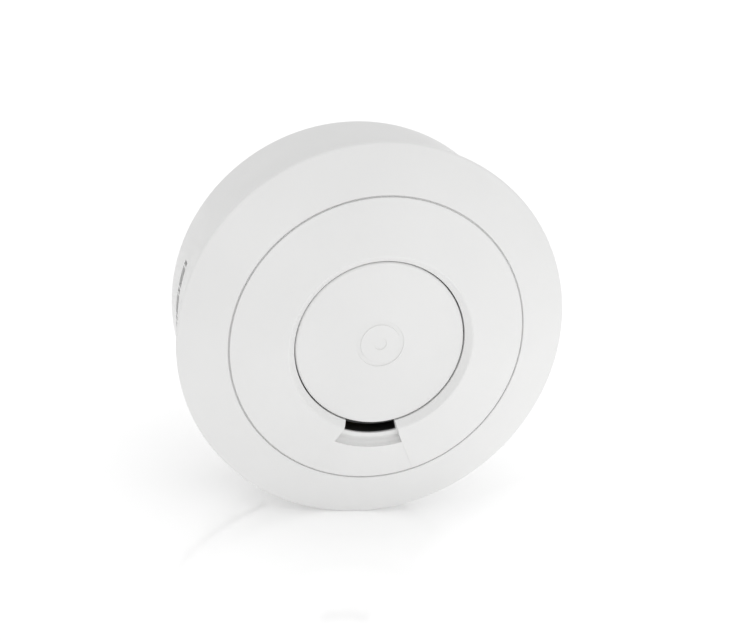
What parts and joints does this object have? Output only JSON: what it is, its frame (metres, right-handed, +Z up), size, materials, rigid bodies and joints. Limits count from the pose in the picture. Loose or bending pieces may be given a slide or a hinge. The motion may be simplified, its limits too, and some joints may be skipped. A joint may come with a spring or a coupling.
{
  "type": "smoke detector",
  "caption": "Round optical smoke alarm with a large central test button, a sound slot, side smoke inlets and a twist-lock mounting plate.",
  "frame": {"origin": "centre of the mounting plate's back face, which lies on the wall or ceiling", "axes": "+Y points into the mounting surface, -Y out of the front, +Z up, with the sound slot at the bottom"},
  "size_m": [0.115, 0.0488, 0.115],
  "materials": {
    "housing_white": "satin moulded, fine texture",
    "ring_white": "satin moulded, fine texture",
    "button_white": "satin moulded",
    "plate_white": "satin moulded",
    "tray_white": "satin moulded",
    "label_paper": "matt film",
    "board_green": "solder mask",
    "screw_steel": "zinc plated",
    "battery_wrap": "shrink film",
    "nickel": "nickel strip",
    "foam_grey": "closed-cell foam",
    "chamber_black": "matt black",
    "screen_steel": "fine mesh",
    "emitter_clear": "clear epoxy",
    "receiver_black": "dark epoxy",
    "horn_black": "matt",
    "brass": "rolled",
    "ceramic_white": "silvered ceramic",
    "spring_steel": "drawn wire",
    "switch_black": "moulded",
    "slider_grey": "moulded acetal",
    "light_pipe_clear": "clear acrylic",
    "led_white": "clear epoxy",
    "chip_black": "moulded epoxy",
    "can_aluminium": "drawn can",
    "component_tan": "ceramic"
  },
  "bodies": {
    "wall_plate": {"mounting_plate": "plate_white"},
    "test_button": {"test_button": "button_white", "button_spring": "spring_steel"},
    "switch_plunger": {"switch_plunger": "switch_black"},
    "power_slider": {"power_slider": "slider_grey", "power_switch_lever": "slider_grey"},
    "alarm_head": {"front_cover": "housing_white", "front_ring": "ring_white", "rear_tray": "tray_white", "rear_label": "label_paper", "main_board": "board_green", "board_screws": "screw_steel", "battery_cell": "battery_wrap", "battery_tabs": "nickel", "battery_pad": "foam_grey", "chamber_base": "chamber_black", "chamber_cover": "chamber_black", "insect_screen": "screen_steel", "infrared_emitter": "emitter_clear", "light_receiver": "receiver_black", "horn_housing": "horn_black", "horn_lid": "horn_black", "horn_seal": "foam_grey", "piezo_disc": "brass", "piezo_ceramic": "ceramic_white", "piezo_contacts": "nickel", "test_switch": "switch_black", "power_switch": "switch_black", "status_led": "led_white", "light_pipe": "light_pipe_clear", "microcontroller": "chip_black", "capacitors": "can_aluminium", "inductor": "chip_black", "small_components": "component_tan"}
  },
  "joints": [
    {"name": "head_twist", "type": "hinge", "parent": "wall_plate", "child": "alarm_head", "pos_m": [0, 0, 0], "axis": [0, -1, 0], "range_deg": [0, 12]},
    {"name": "button_press", "type": "slide", "parent": "alarm_head", "child": "test_button", "axis": [0, 1, 0], "range_m": [0, 0.0012], "stiffness_N_per_m": 2500, "springref_m": -0.0002, "deforming": ["button_spring"]},
    {"name": "plunger_press", "type": "slide", "parent": "alarm_head", "child": "switch_plunger", "axis": [0, 1, 0], "range_m": [0, 0.0012]},
    {"name": "slider_travel", "type": "slide", "parent": "alarm_head", "child": "power_slider", "axis": [1, 0, 0], "range_m": [0, 0.0034]}
  ],
  "couplings": [
    {"joint": "plunger_press", "follows": "button_press", "ratio": 1},
    {"joint": "slider_travel", "follows": "head_twist", "m_per_rad": 0.016}
  ]
}
